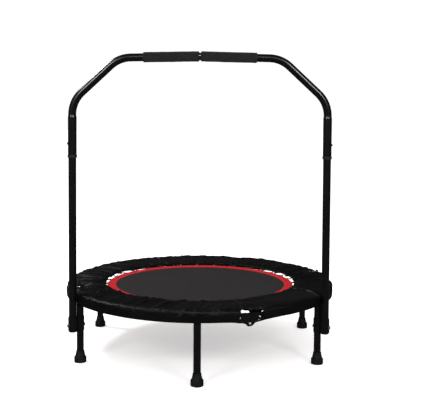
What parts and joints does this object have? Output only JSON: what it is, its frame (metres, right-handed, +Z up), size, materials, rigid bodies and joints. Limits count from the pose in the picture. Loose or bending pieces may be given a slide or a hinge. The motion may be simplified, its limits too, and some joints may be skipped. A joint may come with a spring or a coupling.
{
  "type": "mini trampoline",
  "caption": "Folding round fitness trampoline with padded spring cover, red-edged mat, six rubber-footed legs and a U-shaped foam-gripped handlebar.",
  "frame": {"origin": "on the floor, under the centre of the ring", "axes": "+Z up, -Y towards the handlebar side, +X to the right of someone who faces +Y"},
  "size_m": [1.036, 1.042, 1.1294],
  "materials": {
    "black_tube": "gloss black powder coat",
    "zinc_steel": "bright zinc plate",
    "mat_weave": "woven polypropylene",
    "red_webbing": "woven webbing with stitching",
    "pad_cover": "coated polyester, slightly shiny",
    "foam_grip": "matt closed-cell foam",
    "black_rubber": "moulded, matt",
    "black_plastic": "moulded, satin"
  },
  "bodies": {
    "root": {"button_springs": "zinc_steel", "foot_front": "black_rubber", "foot_front_left": "black_rubber", "foot_front_right": "black_rubber", "frame_arc_front_left": "black_tube", "frame_arc_front_right": "black_tube", "front_hinge_leaf_left": "black_tube", "front_hinge_leaf_right": "black_tube", "front_hinge_pin": "zinc_steel", "hinge_rivets_front": "zinc_steel", "left_hinge_leaf_front": "black_tube", "left_hinge_pin": "zinc_steel", "leg_front": "black_tube", "leg_front_left": "black_tube", "leg_front_right": "black_tube", "leg_saddles_front": "black_tube", "leg_studs_front": "black_tube", "mat_edge_front": "red_webbing", "mat_front": "mat_weave", "pad_front": "pad_cover", "post_bolts": "zinc_steel", "post_bracket_left": "black_tube", "post_bracket_right": "black_tube", "post_left": "black_tube", "post_plugs": "black_plastic", "post_right": "black_tube", "right_hinge_leaf_front": "black_tube", "right_hinge_pin": "zinc_steel", "springs_front": "zinc_steel", "v_rings_front": "zinc_steel"},
    "rear_half": {"foot_rear": "black_rubber", "foot_rear_left": "black_rubber", "foot_rear_right": "black_rubber", "frame_arc_rear_left": "black_tube", "frame_arc_rear_right": "black_tube", "hinge_rivets_rear": "zinc_steel", "left_hinge_leaf_rear": "black_tube", "leg_rear": "black_tube", "leg_rear_left": "black_tube", "leg_rear_right": "black_tube", "leg_saddles_rear": "black_tube", "leg_studs_rear": "black_tube", "mat_edge_rear": "red_webbing", "mat_rear": "mat_weave", "pad_rear": "pad_cover", "rear_hinge_leaf_left": "black_tube", "rear_hinge_leaf_right": "black_tube", "rear_hinge_pin": "zinc_steel", "right_hinge_leaf_rear": "black_tube", "springs_rear": "zinc_steel", "v_rings_rear": "zinc_steel"},
    "handlebar": {"bar_connector": "zinc_steel", "connector_screws": "zinc_steel", "grip_left": "foam_grip", "grip_right": "foam_grip", "socket_bushings": "black_plastic", "upper_tube_left": "black_tube", "upper_tube_right": "black_tube"},
    "left_button": {"snap_button_left": "black_tube"},
    "right_button": {"snap_button_right": "black_tube"}
  },
  "joints": [
    {"name": "rear_fold", "type": "hinge", "parent": "root", "child": "rear_half", "pos_m": [0, 0, 0.2575], "axis": [0.9397, 0.342, 0], "range_deg": [0, 178]},
    {"name": "handlebar_height", "type": "slide", "parent": "root", "child": "handlebar", "axis": [0, 0, 1], "range_m": [-0.035, 0.035], "deforming": ["button_springs", "snap_button_left", "snap_button_right"]},
    {"name": "left_button_press", "type": "slide", "parent": "root", "child": "left_button", "axis": [1, 0, 0], "range_m": [0, 0.0052], "stiffness_N_per_m": 900},
    {"name": "right_button_press", "type": "slide", "parent": "root", "child": "right_button", "axis": [-1, 0, 0], "range_m": [0, 0.0052], "stiffness_N_per_m": 900}
  ]
}
